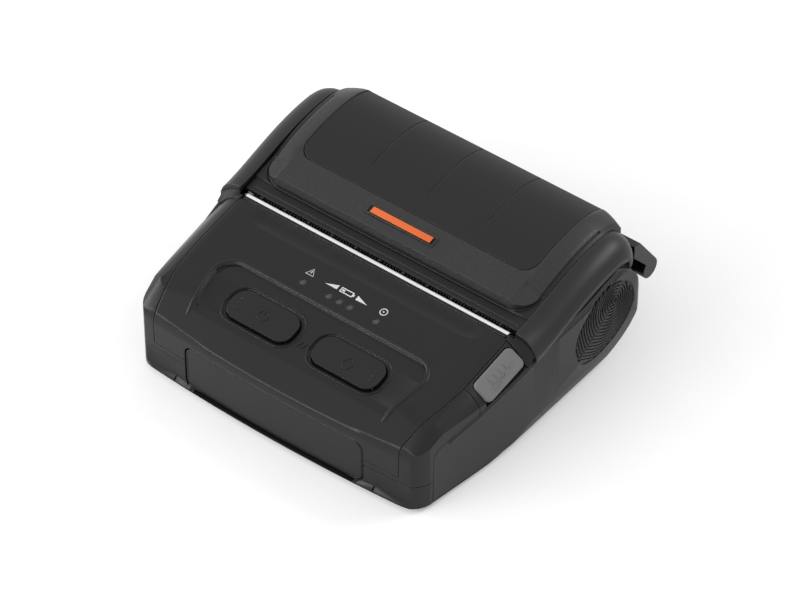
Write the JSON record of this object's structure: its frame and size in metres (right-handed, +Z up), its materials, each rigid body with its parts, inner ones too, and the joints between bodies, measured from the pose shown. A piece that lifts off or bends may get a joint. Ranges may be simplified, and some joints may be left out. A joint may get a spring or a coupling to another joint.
{
  "type": "portable label printer",
  "caption": "Flat clamshell mobile label printer with a rear-hinged roll cover, sloping key panel, tear bar, side release button and slide-in battery.",
  "frame": {"origin": "on the surface it stands on, under the middle of the bounding box", "axes": "+X to the right seen from the front, +Y towards the back, +Z up; the keys face -Y"},
  "size_m": [0.148, 0.1404, 0.0574],
  "materials": {
    "case_plastic": "fine spark-eroded grain, black",
    "guard_plastic": "smoother warm black",
    "plate_plastic": "smooth matte dark grey",
    "button_plastic": "matte black",
    "open_button_plastic": "satin grey",
    "inlay_orange": "satin orange",
    "inner_plastic": "plain moulded black",
    "steel": "plain zinc-plated sheet",
    "tear_steel": "bright stainless",
    "aluminium": "plain extruded",
    "ceramic_head": "glazed strip",
    "circuit_board": "green solder mask",
    "chip_black": "moulded package",
    "lamp_clear": "clear moulded light guide",
    "brass": "plain",
    "flex_amber": "polyimide film",
    "rubber": "ground rubber",
    "gear_white": "moulded acetal",
    "battery_case": "plain moulded"
  },
  "bodies": {
    "case": {"lower_case": "case_plastic", "upper_case": "case_plastic", "front_panel": "case_plastic", "side_guard_left": "guard_plastic", "side_guard_right": "guard_plastic", "open_bezel": "case_plastic", "tear_bar": "tear_steel", "chassis": "steel", "print_head": "ceramic_head", "heat_sink": "aluminium", "head_springs": "steel", "main_board": "circuit_board", "board_chips": "chip_black", "key_board": "circuit_board", "key_switches": "chip_black", "lamp_guides": "lamp_clear", "port_board": "circuit_board", "power_jack": "chip_black", "usb_socket": "steel", "buzzer": "chip_black", "battery_contacts": "brass", "gap_sensor": "chip_black", "head_cable": "flex_amber", "stepper_motor": "steel", "idler_stud": "steel", "paper_well": "inner_plastic", "hinge_pins": "steel", "case_screws": "steel", "chassis_screws": "steel", "rubber_feet": "rubber"},
    "cover": {"cover_shell": "case_plastic", "cover_plate": "plate_plastic", "cover_inlay": "inlay_orange", "cover_cheek_left": "guard_plastic", "cover_cheek_right": "guard_plastic", "cover_liner": "inner_plastic", "hinge_arms": "case_plastic", "platen_bracket": "inner_plastic", "platen_bushes": "gear_white", "cover_screws": "steel"},
    "platen": {"platen_shaft": "steel", "platen_rubber": "rubber", "platen_gear": "gear_white"},
    "idler": {"idler_gear": "gear_white"},
    "motor_rotor": {"motor_pinion": "brass"},
    "power_key": {"power_button": "button_plastic"},
    "feed_key": {"feed_button": "button_plastic"},
    "open_key": {"open_button": "open_button_plastic"},
    "lever": {"release_lever": "steel"},
    "battery": {"battery_pack": "battery_case", "battery_cap": "case_plastic"},
    "latch": {"battery_latch": "button_plastic"},
    "port_flap": {"port_cover": "guard_plastic"},
    "guide_left": {"roll_guide_left": "inner_plastic"},
    "guide_right": {"roll_guide_right": "inner_plastic"},
    "guide_wheel": {"guide_pinion": "gear_white"}
  },
  "joints": [
    {"name": "cover_hinge", "type": "hinge", "parent": "case", "child": "cover", "pos_m": [0, 0.06605, 0.0255], "axis": [-1, 0, 0], "range_deg": [0, 95]},
    {"name": "platen_spin", "type": "hinge", "parent": "cover", "child": "platen", "pos_m": [0, -0.00325, 0.0362], "axis": [1, 0, 0], "continuous": true},
    {"name": "idler_spin", "type": "hinge", "parent": "case", "child": "idler", "pos_m": [0, -0.00528, 0.02306], "axis": [1, 0, 0], "continuous": true},
    {"name": "motor_spin", "type": "hinge", "parent": "case", "child": "motor_rotor", "pos_m": [0, -0.01559, 0.01711], "axis": [1, 0, 0], "continuous": true},
    {"name": "power_press", "type": "slide", "parent": "case", "child": "power_key", "axis": [0, 0.2419, -0.9703], "range_m": [0, 0.0008], "stiffness_N_per_m": 300, "springref_m": -0.0006},
    {"name": "feed_press", "type": "slide", "parent": "case", "child": "feed_key", "axis": [0, 0.2419, -0.9703], "range_m": [0, 0.0008], "stiffness_N_per_m": 300, "springref_m": -0.0006},
    {"name": "open_press", "type": "slide", "parent": "case", "child": "open_key", "axis": [-0.6157, 0.1368, -0.776], "range_m": [0, 0.0012], "stiffness_N_per_m": 400, "springref_m": -0.001},
    {"name": "lever_pivot", "type": "hinge", "parent": "case", "child": "lever", "pos_m": [0, -0.02025, 0.035], "axis": [1, 0, 0], "range_deg": [0, 7.5]},
    {"name": "battery_slide", "type": "slide", "parent": "case", "child": "battery", "axis": [0, -1, 0], "range_m": [0, 0.045]},
    {"name": "battery_latch_slide", "type": "slide", "parent": "case", "child": "latch", "axis": [1, 0, 0], "range_m": [0, 0.003], "stiffness_N_per_m": 150, "springref_m": -0.001},
    {"name": "port_cover_hinge", "type": "hinge", "parent": "case", "child": "port_flap", "pos_m": [-0.06706, -0.038, 0.0082], "axis": [0.1323, -0.9912, 0], "range_deg": [0, 95]},
    {"name": "guide_right_slide", "type": "slide", "parent": "case", "child": "guide_right", "axis": [-1, 0, 0], "range_m": [0, 0.028]},
    {"name": "guide_left_slide", "type": "slide", "parent": "case", "child": "guide_left", "axis": [1, 0, 0], "range_m": [0, 0.028]},
    {"name": "guide_wheel_spin", "type": "hinge", "parent": "case", "child": "guide_wheel", "pos_m": [0, 0.00475, 0.007], "axis": [0, 0, 1], "range_deg": [0, 450]}
  ],
  "couplings": [
    {"joint": "idler_spin", "follows": "platen_spin", "ratio": -0.72727},
    {"joint": "motor_spin", "follows": "platen_spin", "ratio": 1.3333},
    {"joint": "lever_pivot", "follows": "open_press", "rad_per_m": 101.81},
    {"joint": "guide_left_slide", "follows": "guide_right_slide", "ratio": 1},
    {"joint": "guide_wheel_spin", "follows": "guide_right_slide", "rad_per_m": 277.78}
  ]
}
